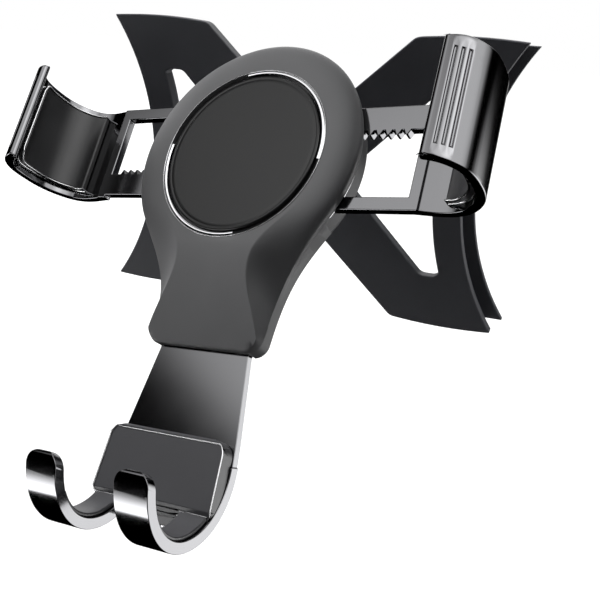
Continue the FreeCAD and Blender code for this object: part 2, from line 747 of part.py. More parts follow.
def arm_pad(arm):
    """Shield on the foot of the arm, running out as liners in the hooks."""
    y1 = val("plate_front")
    y0 = y1 - val("shield_thick")
    half = val("arm_flare")
    top = -val("shield_top")
    low = -val("shield_low")
    front = rounded([V(-half, y0, top), V(half, y0, top),
                     V(half + 0.8, y0, low + 4), V(half - 4.5, y0, low),
                     V(-half + 4.5, y0, low), V(-half - 0.8, y0, low + 4)],
                    [3.6, 3.6, 2.0, 2.0, 2.0, 2.0])
    solid = front.extrude(V(0, y1 - y0, 0))
    wedge = polygon([V(-60, y0 - 1, top + 2.4), V(-60, y0 - 1, top + 9),
                     V(-60, y1 + 1, top + 9), V(-60, y0 + 0.01, top - 0.9)])
    solid = solid.cut(wedge.extrude(V(120, 0, 0)))
    facet = polygon([V(-60, y0 - 1, low + 5.5), V(-60, y0, low + 5.0),
                     V(-60, y1 - 1.6, low - 0.4), V(-60, y0 - 1, low - 2)])
    solid = solid.cut(facet.extrude(V(120, 0, 0)))
    outer, inner = hook_band(val("hook_wall"))
    liner = []
    seat = []
    for i in range(2, len(inner) - 5):
        normal = (inner[i] - outer[i]).normalize()
        seat.append(inner[i] + normal * 0.02)
        liner.append(inner[i] + normal * val("hook_liner"))
    width = val("hook_width") - 1.6
    seat = swing(seat)
    liner = swing(liner)
    edges = [spline(seat), line(seat[-1], liner[-1]), spline(liner),
             line(liner[0], seat[0])]
    face = Part.Face(Part.Wire(Part.__sortEdges__(edges)))
    strip = face.extrude(V(width, 0, 0))
    strip.translate(V(val("arm_foot") - val("hook_width") + 0.8, 0, 0))
    solid = solid.fuse(strip).fuse(mirrored(strip))
    return solid.cut(arm)


# Ball joint

def ball_seat():
    """Cup between the ball and the floor of the socket."""
    centre = val("ball_back")
    inner = val("ball_radius") + 0.1
    outer = inner + val("seat_wall")
    cup = ball(outer, 0, centre, PINION_Z).cut(ball(inner, 0, centre, PINION_Z))
    reach = outer * math.cos(math.radians(val("seat_angle")))
    return cup.common(rod(30, 0, centre - reach, 0, PINION_Z))


def grip_ring():
    """Ring round the ball at the mouth of the socket."""
    centre = val("ball_back")
    outer = val("ball_radius") + 0.2 + val("seat_wall") + 0.36
    ring = rod(outer, centre + 0.35, centre + 2.1, 0, PINION_Z)
    return ring.cut(ball(val("ball_radius") + 0.08, 0, centre, PINION_Z))


def lock_nut():
    ring = rod(val("nut_radius"), STEP_BACK + 0.35, val("socket_end") - 0.6, 0, PINION_Z)
    edges = [e for e in ring.Edges if e.Length > 20 and len(e.Vertexes) == 1]
    ring = ring.makeChamfer(0.7, edges)
    ring = ring.cut(rod(val("socket_radius") + val("running_gap"), 0, 40, 0, PINION_Z))
    for i in range(12):
        angle = 2 * math.pi * i / 12
        x = (val("nut_radius") + 0.55) * math.cos(angle)
        z = PINION_Z + (val("nut_radius") + 0.55) * math.sin(angle)
        ring = ring.cut(rod(1.25, 0, 40, x, z))
    return ring


def ball_stud():
    """Ball on a waisted stem with a round foot, turned about the row y axis."""
    out = val("ball_out")
    face = -val("bracket_depth")
    radius = val("ball_radius")
    neck = val("stud_neck")
    stem = rod(neck, -out + radius * 0.8, face - 1)
    foot = rod(val("stud_flange"), face - 2.6, face)
    cone = Part.makeCone(neck, val("stud_flange") - 2.6, 3.0, V(0, face - 5.6, 0), V(0, 1, 0))
    solid = ball(radius, 0, -out, 0).fuse([stem, foot, cone])
    for side in (-1, 1):
        solid = solid.fuse(rod(1.2, face - 0.5, face + 1.6, side * 6.0, 0))
    return solid.cut(rod(val("mount_screw") - 0.5, -out + 3.5, 5))


def stud_screw():
    """Threaded pin that joins the ball stud to the bracket hub."""
    pin = rod(val("mount_screw") - 0.52, -val("ball_out") + 4.0, -3.2)
    slot = box(-1.0, 1.0, -val("ball_out") + 3.9, -val("ball_out") + 4.7, -0.3, 0.3)
    return pin.cut(slot)


# Bracket between the vents

def vent_centre():
    high = val("bracket_high")
    return val("bracket_half") + math.sqrt(val("vent_radius") ** 2 - high ** 2)


def bracket_plate():
    y0 = -val("bracket_depth")
    thick = val("bracket_plate")
    half = val("bracket_half")
    high = val("bracket_high")
    corner = val("arm_corner")
    peak = high + val("wing_bulge")
    peak_x = (corner + half) / 2
    bend = (math.atan(val("wing_bulge") / (peak_x - corner))
            + math.atan(val("wing_bulge") / (half + 6 - peak_x)))
    crown = (peak_x - corner - 2.5) / math.tan(bend / 2)
    quarter = [(0, 11.0, 7.0), (corner, high, 3.6), (peak_x, peak, crown),
               (half + 6, high, 0.5)]
    lower = [(x, -z, r) for x, z, r in reversed(quarter)]
    right = quarter + lower[:-1]
    left = [(-x, z, r) for x, z, r in reversed(right[1:])]
    ring = right + [lower[-1]] + left
    flat = rounded([V(x, y0, z) for x, z, _ in ring], [r for _, _, r in ring])
    solid = flat.extrude(V(0, thick, 0))
    for side in (1, -1):
        vent = rod(val("vent_radius"), y0 - 1, 5, side * vent_centre(), 0)
        solid = solid.cut(vent)
    for side in (1, -1):
        solid = solid.cut(window(side, y0 - 1, 3.0))
    solid = solid.fuse(rod(val("hub_radius"), y0, 0))
    solid = solid.cut(rod(val("mount_screw") - 0.5, y0 - 2, -3.0))
    for side in (-1, 1):
        solid = solid.cut(rod(1.25, y0 - 1, y0 + 1.8, side * 6.0, 0))
        for z in (-27.5, 27.5):
            x = side * grip_x(z)
            solid = solid.cut(rod(val("screw_radius") + 0.02, y0 + 1.4, 5, x, z))
    return solid


def grip_x(z):
    """Middle of the vertical grip at height z."""
    radius = val("vent_radius")
    edge = vent_centre() - math.sqrt(radius ** 2 - z ** 2)
    return edge - val("grip_width") / 2 - 0.4


def window(side, y0, round_radius):
    """Three-sided opening between the arms and the grip of one wing."""
    high = val("bracket_high") * 0.65
    radius = val("vent_radius") + val("grip_width")
    centre = vent_centre()
    apex = 12.0
    right = centre - math.sqrt(radius ** 2 - high ** 2)
    left = right - 5.6
    points = [V(apex, y0, 0), V(left, y0, high), V(right, y0, high),
              V(right, y0, -high), V(left, y0, -high)]
    flat = rounded(points, [2.2, round_radius, 2.4, 2.4, round_radius])
    solid = flat.extrude(V(0, 20, 0))
    solid = solid.cut(rod(radius, y0 - 1, 30, centre, 0))
    return solid if side > 0 else mirrored(solid)


def grip_flange(side):
    """Curved rail behind the plate: a rib and an outward lip."""
    y0 = -val("bracket_depth") + val("bracket_plate")
    lip = -val("flange_thick")
    radius = val("vent_radius")
    centre = vent_centre()
    high = val("bracket_high") - 0.6
    tall = box(0, centre, -40, 5, -high, high)
    inner = radius + 1.6
    outer = inner + val("rib_thick")
    rib = rod(outer, y0, 0, centre, 0).cut(rod(inner, y0 - 1, 5, centre, 0))
    over = rod(outer, lip, 0, centre, 0)
    over = over.cut(rod(radius - val("flange_over"), lip - 1, 5, centre, 0))
    solid = rib.fuse(over).common(tall)
    for z in (-27.5, 27.5):
        boss = rod(2.7, y0, 0, grip_x(z), z)
        solid = solid.fuse(boss.cut(rod(inner, y0 - 1, 5, centre, 0)))
    for z in (-27.5, 27.5):
        x = grip_x(z)
        solid = solid.cut(rod(val("screw_radius") + 0.05, y0 - 5, 5, x, z))
        solid = solid.cut(rod(val("screw_head") + 0.1, -1.0, 5, x, z))
    return solid if side > 0 else mirrored(solid)


def grip_screw(side, z):
    x = side * grip_x(z)
    y0 = -val("bracket_depth")
    shank = rod(val("screw_radius"), y0 + 1.7, -1.0, x, z)
    head = rod(val("screw_head"), -1.0, -0.2, x, z)
    cross = box(x - 1.1, x + 1.1, -0.65, 1, z - 0.22, z + 0.22)
    other = box(x - 0.22, x + 0.22, -0.65, 1, z - 1.1, z + 1.1)
    return shank.fuse(head).cut(cross).cut(other)


def return_spring():
    """Flat spiral spring between the pinion axle boss and a post."""
    y0 = 2.62
    steps = 40
    turns = 2.25
    outer = []
    inner = []
    for i in range(steps + 1):
        part = i / steps
        angle = 2 * math.pi * turns * part
        radius = 3.1 + 3.1 * part
        for lot, grow in ((outer, 0.18), (inner, -0.18)):
            r = radius + grow
            lot.append(V(r * math.cos(angle), y0, PINION_Z + r * math.sin(angle)))
    edges = [spline(outer), line(outer[-1], inner[-1]), spline(inner),
             line(inner[0], outer[0])]
    face = Part.Face(Part.Wire(Part.__sortEdges__(edges)))
    return face.extrude(V(0, 1.3, 0))


# Build every sub-part

keep("front_cover", front_cover(), HEAD_PLACE)
keep("rear_cover", rear_cover(), HEAD_PLACE)
keep("ring_arc_upper", ring_arc(val("ring_start")), HEAD_PLACE)
keep("ring_arc_lower", ring_arc(val("ring_start") + 180), HEAD_PLACE)
for number, (x, z) in enumerate(TOP_SCREWS + NECK_SCREWS, start=1):
    keep("cover_screw_%d" % number, cover_screw(x, z), HEAD_PLACE)
keep("pinion", pinion(), HEAD_PLACE)
axle = rod(val("pinion_bore") - val("running_gap"), 1.65, val("head_depth") - 1.15, 0, PINION_Z)
keep("pinion_axle", axle, HEAD_PLACE)
keep("return_spring", return_spring(), HEAD_PLACE)
keep("right_arm", right_arm(), HEAD_PLACE)
keep("left_arm", half_turn(right_arm()), HEAD_PLACE)
keep("right_clamp_pad", clamp_pad(), HEAD_PLACE)
keep("left_clamp_pad", half_turn(clamp_pad()), HEAD_PLACE)
keep("slider_rack", slider_rack(), HEAD_PLACE)
arm_solid = keep("gravity_arm", gravity_arm(), HEAD_PLACE)
keep("arm_pad", arm_pad(arm_solid), HEAD_PLACE)
keep("rack_screw_left", rack_screw(-3.4), HEAD_PLACE)
keep("rack_screw_right", rack_screw(3.4), HEAD_PLACE)
keep("ball_seat", ball_seat(), HEAD_PLACE)
keep("grip_ring", grip_ring(), HEAD_PLACE)
keep("lock_nut", lock_nut(), HEAD_PLACE)
keep("ball_stud", ball_stud(), ROW_PLACE)
keep("stud_screw", stud_screw(), ROW_PLACE)
keep("bracket_plate", bracket_plate(), ROW_PLACE)
keep("grip_flange_right", grip_flange(1), ROW_PLACE)
keep("grip_flange_left", grip_flange(-1), ROW_PLACE)
for number, (side, z) in enumerate([(1, 27.5), (1, -27.5), (-1, 27.5), (-1, -27.5)], start=1):
    keep("grip_screw_%d" % number, grip_screw(side, z), ROW_PLACE)

# The soft disc is a cylinder bound to the sheet

disc = doc.addObject("Part::Cylinder", "disc_pad")
disc.Label = "disc_pad"
disc.setExpression("Radius", "sizes.disc_radius")
disc.setExpression("Height", "sizes.disc_thick")
disc.Placement = HEAD_PLACE.multiply(
    FreeCAD.Placement(V(0, 0, 0), FreeCAD.Rotation(V(1, 0, 0), -90)))
parts.append(disc)

doc.recompute()
for item in parts:
    if "Invalid" in item.State or "Error" in item.State:
        raise RuntimeError("sub-part failed: " + item.Label)
    if item.Shape.isNull() or not item.Shape.isValid():
        raise RuntimeError("bad shape: " + item.Label)

os.makedirs("parts", exist_ok=True)
for item in parts:
    item.Shape.exportStep("parts/%s.step" % item.Label)
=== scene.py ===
import json
import math

import bmesh
import bpy
from mathutils import Matrix, Vector


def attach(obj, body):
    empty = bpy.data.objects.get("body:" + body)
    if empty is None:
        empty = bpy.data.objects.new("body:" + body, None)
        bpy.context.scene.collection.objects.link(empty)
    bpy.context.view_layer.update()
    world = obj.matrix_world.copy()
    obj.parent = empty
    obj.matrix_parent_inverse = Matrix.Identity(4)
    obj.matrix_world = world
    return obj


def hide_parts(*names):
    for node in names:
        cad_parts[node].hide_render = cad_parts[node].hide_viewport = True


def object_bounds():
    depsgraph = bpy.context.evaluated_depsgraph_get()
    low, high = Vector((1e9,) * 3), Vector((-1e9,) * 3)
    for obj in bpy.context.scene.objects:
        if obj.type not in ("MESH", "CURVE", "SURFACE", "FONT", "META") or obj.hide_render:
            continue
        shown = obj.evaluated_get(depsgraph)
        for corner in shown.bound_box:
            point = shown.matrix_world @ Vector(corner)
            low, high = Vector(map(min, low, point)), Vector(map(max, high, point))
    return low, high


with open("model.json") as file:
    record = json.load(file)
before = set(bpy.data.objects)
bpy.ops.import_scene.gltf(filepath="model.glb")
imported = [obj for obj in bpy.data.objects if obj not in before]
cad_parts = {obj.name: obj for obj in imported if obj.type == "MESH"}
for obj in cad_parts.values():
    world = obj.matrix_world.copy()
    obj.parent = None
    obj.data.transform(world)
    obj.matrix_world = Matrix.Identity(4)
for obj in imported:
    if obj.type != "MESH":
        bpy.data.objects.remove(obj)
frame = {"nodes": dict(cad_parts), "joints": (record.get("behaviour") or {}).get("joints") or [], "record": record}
cad_low, cad_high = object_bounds()

MM = 0.001
JOINTS = {joint["name"]: joint for joint in frame["joints"]}
MOUNTS = {mount["name"]: mount for mount in frame["record"]["mounts"]}
BODY_OF = {node: body for body, nodes in frame["record"]["behaviour"]["bodies"].items()
           for node in nodes}
SLOT_OF = {part["node"]: part["material_slot"] for part in frame["record"]["subparts"]}

# The head's own frame: x right, y back, z up, with its origin on the soft disc
HEAD_RIGHT = -Vector(JOINTS["right_arm_slide"]["axis"])
HEAD_BACK = Vector(JOINTS["ball_roll"]["axis"])
HEAD_UP = -Vector(JOINTS["gravity_slide"]["axis"])
HEAD = Matrix((HEAD_RIGHT, HEAD_BACK, HEAD_UP)).transposed().to_4x4()
HEAD.translation = Vector(MOUNTS["phone_rest"]["pos_m"])
HEAD_MM = HEAD @ Matrix.Scale(MM, 4)

DISC_RADIUS = 21.5
DISC_DEPTH = 1.3


# Shader helpers

def new_material(name):
    """Empty material with a Principled shader on its output."""
    made = bpy.data.materials.new(name)
    made.use_nodes = True
    made.node_tree.nodes.clear()
    out = made.node_tree.nodes.new("ShaderNodeOutputMaterial")
    shader = made.node_tree.nodes.new("ShaderNodeBsdfPrincipled")
    made.node_tree.links.new(shader.outputs["BSDF"], out.inputs["Surface"])
    return made, shader


def grain_group():
    """Moulded surface: fine grain for the bump, and a broad mottle."""
    tree = bpy.data.node_groups.new("moulded_surface", "ShaderNodeTree")
    face = tree.interface
    for label, kind, value in (("Base", "NodeSocketColor", (0.05, 0.05, 0.05, 1)),
                               ("Grain Scale", "NodeSocketFloat", 3000.0),
                               ("Grain Depth", "NodeSocketFloat", 0.1),
                               ("Mottle", "NodeSocketFloat", 0.1),
                               ("Rough", "NodeSocketFloat", 0.4),
                               ("Rough Spread", "NodeSocketFloat", 0.08)):
        socket = face.new_socket(name=label, in_out="INPUT", socket_type=kind)
        socket.default_value = value
    face.new_socket(name="Color", in_out="OUTPUT", socket_type="NodeSocketColor")
    face.new_socket(name="Roughness", in_out="OUTPUT", socket_type="NodeSocketFloat")
    face.new_socket(name="Normal", in_out="OUTPUT", socket_type="NodeSocketVector")
    nodes, links = tree.nodes, tree.links
    entry = nodes.new("NodeGroupInput")
    leave = nodes.new("NodeGroupOutput")
    place = nodes.new("ShaderNodeTexCoord")
    fine = nodes.new("ShaderNodeTexNoise")
    fine.inputs["Detail"].default_value = 3.0
    broad = nodes.new("ShaderNodeTexNoise")
    broad.inputs["Scale"].default_value = 90.0
    broad.inputs["Detail"].default_value = 5.0
    links.new(place.outputs["Object"], fine.inputs["Vector"])
    links.new(place.outputs["Object"], broad.inputs["Vector"])
    links.new(entry.outputs["Grain Scale"], fine.inputs["Scale"])
    # Colour: base times (1 + mottle * (noise - 0.5) * 2)
    spread = nodes.new("ShaderNodeMath")
    spread.operation = "MULTIPLY_ADD"
    spread.inputs[1].default_value = 2.0
    spread.inputs[2].default_value = -1.0
    links.new(broad.outputs["Fac"], spread.inputs[0])
    gain = nodes.new("ShaderNodeMath")
    gain.operation = "MULTIPLY_ADD"
    gain.inputs[2].default_value = 1.0
    links.new(spread.outputs[0], gain.inputs[0])
    links.new(entry.outputs["Mottle"], gain.inputs[1])
    tint = nodes.new("ShaderNodeVectorMath")
    tint.operation = "SCALE"
    links.new(entry.outputs["Base"], tint.inputs[0])
    links.new(gain.outputs[0], tint.inputs["Scale"])
    links.new(tint.outputs[0], leave.inputs["Color"])
    dull = nodes.new("ShaderNodeMath")
    dull.operation = "MULTIPLY_ADD"
    links.new(spread.outputs[0], dull.inputs[0])
    links.new(entry.outputs["Rough Spread"], dull.inputs[1])
    links.new(entry.outputs["Rough"], dull.inputs[2])
    links.new(dull.outputs[0], leave.inputs["Roughness"])
    bump = nodes.new("ShaderNodeBump")
    bump.inputs["Distance"].default_value = 0.00004
    links.new(entry.outputs["Grain Depth"], bump.inputs["Strength"])
    links.new(fine.outputs["Fac"], bump.inputs["Height"])
    links.new(bump.outputs["Normal"], leave.inputs["Normal"])
    return tree


SURFACE = grain_group()


def moulded(name, colour, rough, grain=0.15, scale=3000.0, mottle=0.08, spread=0.05,
            metallic=0.0, specular=0.5):
    """A material on the shared moulded surface, with its own values."""
    made, shader = new_material(name)
    group = made.node_tree.nodes.new("ShaderNodeGroup")
    group.node_tree = SURFACE
    values = {"Base": (*colour, 1), "Grain Scale": scale, "Grain Depth": grain,
              "Mottle": mottle, "Rough": rough, "Rough Spread": spread}
    for label, value in values.items():
        group.inputs[label].default_value = value
    links = made.node_tree.links
    links.new(group.outputs["Color"], shader.inputs["Base Color"])
    links.new(group.outputs["Roughness"], shader.inputs["Roughness"])
    links.new(group.outputs["Normal"], shader.inputs["Normal"])
    shader.inputs["Metallic"].default_value = metallic
    shader.inputs["Specular IOR Level"].default_value = specular
    return made


COVER = moulded("cover_satin", (0.098, 0.098, 0.10), 0.42, grain=0.2, specular=0.16)
BRACKET = moulded("bracket_charcoal", (0.055, 0.056, 0.063), 0.52, grain=0.6,
                  scale=2200.0, mottle=0.12, specular=0.3)
PLATED = moulded("dark_plating", (0.16, 0.16, 0.165), 0.12, grain=0.0, scale=900.0,
                 mottle=0.04, spread=0.03, metallic=1.0)
RUBBER = moulded("soft_rubber", (0.018, 0.018, 0.019), 0.40, grain=0.4, scale=4000.0,
                 mottle=0.12, specular=0.5)
DISC = moulded("disc_skin", (0.006, 0.006, 0.0062), 0.28, grain=0.03, scale=5000.0,
               mottle=0.04, spread=0.01, specular=0.4)
SHIELD = moulded("shield_satin", (0.045, 0.045, 0.048), 0.34, grain=0.25, scale=2600.0,
                 specular=0.35)
BRIGHT = moulded("bright_trim", (0.86, 0.86, 0.88), 0.16, grain=0.02, metallic=1.0,
                 mottle=0.02, spread=0.02)
# Bright metal for the fine lines on the pads, the shield, the recess and the seam: a painted highlight where those
# edges catch light
PAINTED_HIGHLIGHT = moulded("painted_edge_highlight", (0.6, 0.6, 0.61), 0.25, grain=0.02, metallic=1.0,
               mottle=0.02, spread=0.02)
ACETAL = moulded("acetal_gear", (0.05, 0.05, 0.055), 0.42, grain=0.3)
STEEL = moulded("plated_steel", (0.50, 0.50, 0.52), 0.25, grain=0.1, metallic=1.0)
STUD = moulded("anodised_stud", (0.14, 0.14, 0.15), 0.30, grain=0.1, metallic=1.0)


# Piece helpers

MERGE_DISTANCE = 1e-6
FLAT_ANGLE, EDGE_ANGLE = math.radians(0.4), math.radians(34)
DISC_STEPS = 128


def link_piece(name, mesh, node=None, body=None, material=None):
    """Puts a finished mesh in the scene, on its body and in its material."""
    piece = bpy.data.objects.new(name, mesh)
    bpy.context.scene.collection.objects.link(piece)
    mesh.materials.clear()
    mesh.materials.append(material)
    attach(piece, body or BODY_OF[node])
    if node:
        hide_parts(node)
    return piece


def shade(mesh, angle):
    """Smooth shading, with edges sharper than the angle kept sharp."""
    mesh.polygons.foreach_set("use_smooth", [True] * len(mesh.polygons))
    mesh.set_sharp_from_angle(angle=math.radians(angle))


def clean_copy(node):
    """Merged copy of a CAD node's mesh, with its flat faces joined."""
    mesh = frame["nodes"][node].data.copy()
    if "custom_normal" in mesh.attributes:
        mesh.attributes.remove(mesh.attributes["custom_normal"])
    work = bmesh.new()
    work.from_mesh(mesh)
    bmesh.ops.remove_doubles(work, verts=work.verts, dist=MERGE_DISTANCE)
    bmesh.ops.dissolve_limit(work, angle_limit=FLAT_ANGLE, verts=work.verts,
                             edges=work.edges)
    work.to_mesh(mesh)
    work.free()
    return mesh


def dressed(node, material, bevel, segments=3):
    """The node's own form with its edges broken, standing for the node."""
    mesh = clean_copy(node)
    piece = link_piece(node + "_skin", mesh, node=node, material=material)
    rounding = piece.modifiers.new("edges", "BEVEL")
    rounding.width = bevel * MM
    rounding.segments = segments
    rounding.limit_method = "ANGLE"
    rounding.angle_limit = EDGE_ANGLE
    rounding.use_clamp_overlap = False
    rounding.harden_normals = False
    shade(mesh, 180)
    weighted = piece.modifiers.new("normals", "WEIGHTED_NORMAL")
    weighted.keep_sharp = True
    return piece


def swept_arc(profile, start, sweep, steps, matrix):
    """Closed bar along an arc about the y axis, from a closed (radius, y) profile."""
    mesh = bpy.data.meshes.new("arc")
    work = bmesh.new()
    rings = []
    for i in range(steps + 1):
        angle = math.radians(start + sweep * i / steps)
        rings.append([work.verts.new((r * math.cos(angle), y, r * math.sin(angle)))
                      for r, y in profile])
    count = len(profile)
    for one, two in zip(rings, rings[1:]):
        for k in range(count):
            n = (k + 1) % count
            work.faces.new((one[k], one[n], two[n], two[k]))
    work.faces.new(list(reversed(rings[0])))
    work.faces.new(rings[-1])
    bmesh.ops.recalc_face_normals(work, faces=work.faces)
    work.to_mesh(mesh)
    work.free()
    mesh.transform(matrix)
    return mesh


def lathe(profile, steps, matrix):
    """Closed solid turned about the y axis from (radius, y) points."""
    mesh = bpy.data.meshes.new("turned")
    work = bmesh.new()
    rings = []
    for radius, y in profile:
        if radius < 1e-6:
            rings.append([work.verts.new((0, y, 0))])
            continue
        rings.append([work.verts.new((radius * math.cos(2 * math.pi * i / steps), y,
                                      radius * math.sin(2 * math.pi * i / steps)))
                      for i in range(steps)])
    for one, two in zip(rings, rings[1:]):
        for i in range(steps):
            j = (i + 1) % steps
            corners = [one[i % len(one)], one[j % len(one)], two[j % len(two)],
                       two[i % len(two)]]
            kept = list(dict.fromkeys(corners))
            if len(kept) > 2:
                work.faces.new(kept)
    bmesh.ops.recalc_face_normals(work, faces=work.faces)
    work.to_mesh(mesh)
    work.free()
    mesh.transform(matrix)
    return mesh


# Soft disc

def disc_profile():
    """Crowned face, rolled edge and a shallow step inside it, as (radius, depth)."""
    radius = DISC_RADIUS
    return [(0, 0.02), (8, 0.015), (16, 0.0), (19.6, -0.01), (20.3, -0.01),
            (20.5, 0.06), (20.7, 0.06), (20.9, -0.02), (21.2, 0.02), (radius - 0.05, 0.14),
            (radius, 0.32), (radius, DISC_DEPTH), (0, DISC_DEPTH)]


disc_mesh = lathe(disc_profile(), DISC_STEPS, HEAD_MM)
shade(disc_mesh, 60)
disc = link_piece("soft_disc", disc_mesh, node="disc_pad", material=DISC)


# Head shell: one smooth surface from the disc's recess to the seam

SEAM_RADIUS, SEAM_DEPTH = 30.3, 5.4
FACE_RADIUS, BELLY_RADIUS, BELLY_DEPTH = 24.4, 31.6, 2.3
NECK_LENGTH, NECK_HALF, NECK_CORNER = 49.3, 16.4, 3.5
NECK_TOP, NECK_FALL, NECK_RIM, NECK_BACK = -16.9, 5.2, 6.6, 9.9
RECESS_RADIUS = 23.05
SHELL_WALL = 1.42
LEAVE_ANGLE = -31.6
FOOT_STEPS, KNEE_STEPS, SIDE_STEPS, CROWN_STEPS = 18, 10, 54, 96
CREASE_POLES = ((15.9, -46.0), (12.2, -34.0), (3.5, -25.4), (16.1, -20.5), (20.78, -12.79))
FLANK_TOP, FLANK_FOOT = 12.0, 38.0
FOOT_ROUND, FOOT_FALL, FOOT_BAND = 0.7, 0.55, 0.8
KNEE_ROUND, KNEE_FALL, KNEE_EDGE = 0.2, 0.85, (12.9, 15.0)
FOOT_ANGLE, KNEE_ANGLE, SIDE_ANGLE = -90, -82, -80
STOP_PULL, START_PULL = (0.7, 14), 12
# Where the scoop fades, as shares of the way along the side and the crown, the
# degrees of the crown that it spans, and how softly the scoop starts on each stretch
SIDE_FADE, CROWN_FADE, CROWN_SPAN = (0.4, 1.15), (-0.25, 1.0), 34
SOFT_FOOT, SOFT_KNEE, SOFT_SIDE, SOFT_SPREAD, SOFT_CROWN = 0.1, 0.2, 0.3, 9.0, 9.3
# Powers: a rib's angle and softness along the side, the front's fall, and the roll
# and the hollow of a rib's profile
SWING_BEND, SOFT_BEND, FRONT_BEND, ROLL_BEND, HOLLOW_BEND = 2.2, 1.2, 1.5, 2.4, 1.15
FLANK_CROWD = 1.3
RECESS_ROUND, RECESS_EASE = 0.3, 0.08
RIM_TUCK, TUCK_PARTS, SEAM_STEP = 8.4, (0.25, 0.5, 0.75, 1.0), 0.02
FACE_STEPS, FLANK_STEPS = 16, 28
SHELL_ANGLE = 42
PINION_Z = 1.84
# Windows for the arms' rails: distance from the middle, depth, and height from the
# pinion. Then the slot for the gravity arm: half width, depth and height
WINDOW_INNER, WINDOW_OUTER = 15.0, 40.0
WINDOW_FRONT, WINDOW_BACK = 4.2, 7.2
WINDOW_HEIGHTS = ((3.3, 11.9), (-15.5, -11.6))
SLOT_HALF, SLOT_FRONT, SLOT_BACK, SLOT_FOOT, SLOT_TOP = 13.3, 7.1, 12.0, -60.0, -30.0


def eased(value, low, high):
    """Share of the way from low to high, eased at both ends."""
    part = min(1.0, max(0.0, (value - low) / (high - low)))
    return part * part * (3 - 2 * part)


def cubic(poles, part):
    """Point on the Bezier curve with these poles."""
    points = list(poles)
    while len(points) > 1:
        points = [a.lerp(b, part) for a, b in zip(points, points[1:])]
    return points[0]


def turned(radius, degrees):
    """Point at this radius and angle."""
    return radius * Vector((math.cos(math.radians(degrees)), math.sin(math.radians(degrees))))


def right_ribs():
    """Right half of the head, foot to crown: for each rib its seam point, the point
    where the flat front ends, its angle on the disc's ring, and how far its profile
    is scooped and how softly the scoop starts."""
    corner = Vector((NECK_HALF - NECK_CORNER, NECK_CORNER - NECK_LENGTH))
    start = turned(SEAM_RADIUS, LEAVE_ANGLE)
    along = turned(1, LEAVE_ANGLE - 90)
    stop = Vector((NECK_HALF, corner.y))
    poles = [stop, stop + Vector(STOP_PULL), start + along * START_PULL, start]
    crease = [Vector(pole) for pole in CREASE_POLES]
    ribs = []
    for i in range(FOOT_STEPS):
        part = i / FOOT_STEPS
        ribs.append((Vector((corner.x * part, -NECK_LENGTH)),
                     Vector((corner.x * part, FOOT_ROUND - NECK_LENGTH)),
                     FOOT_ANGLE + (KNEE_ANGLE - FOOT_ANGLE) * part, 0, SOFT_FOOT))
    for i in range(KNEE_STEPS):
        part = i / KNEE_STEPS
        quarter = -90 + 90 * part
        seam = corner + turned(NECK_CORNER, quarter)
        inner = corner + turned(NECK_CORNER - FOOT_ROUND + KNEE_ROUND * part, quarter)
        ribs.append((seam, inner, KNEE_ANGLE + (SIDE_ANGLE - KNEE_ANGLE) * part, part,
                     SOFT_FOOT + SOFT_KNEE * part))
    for i in range(SIDE_STEPS):
        part = i / SIDE_STEPS
        ribs.append((cubic(poles, part), cubic(crease, part),
                     SIDE_ANGLE + (LEAVE_ANGLE - SIDE_ANGLE) * part ** SWING_BEND,
                     1 - eased(part, *SIDE_FADE),
                     SOFT_SIDE + SOFT_SPREAD * part ** SOFT_BEND))
    # The crown's scoop begins where the side's ends
    side_end = 1 - eased(1, *SIDE_FADE)
    crown_start = 1 - eased(0, *CROWN_FADE)
    for i in range(CROWN_STEPS + 1):
        angle = LEAVE_ANGLE + (90 - LEAVE_ANGLE) * i / CROWN_STEPS
        lean = 1 - eased((angle - LEAVE_ANGLE) / CROWN_SPAN, *CROWN_FADE)
        ribs.append((turned(SEAM_RADIUS, angle), turned(FACE_RADIUS, angle), angle,
                     lean * side_end / crown_start, SOFT_CROWN))
    return ribs


def front_fall(z):
    """How far the flat front has fallen back at height z."""
    down = min(1.0, max(0.0, (-z - FACE_RADIUS) / (NECK_LENGTH - FACE_RADIUS)))
    return NECK_FALL * down ** FRONT_BEND


def edge_profile(part, scoop, soft):
    """Share of the fall from the flat front to the rim: rolled, or scooped from a
    crease that starts softly."""
    roll = 1 - math.sqrt(max(0.0, 1 - part ** ROLL_BEND))
    eased_in = (part + math.hypot(part, soft) - soft) / (1 + math.hypot(1, soft) - soft)
    hollow = 1 - (1 - min(1.0, eased_in)) ** HOLLOW_BEND
    return roll + (hollow - roll) * scoop


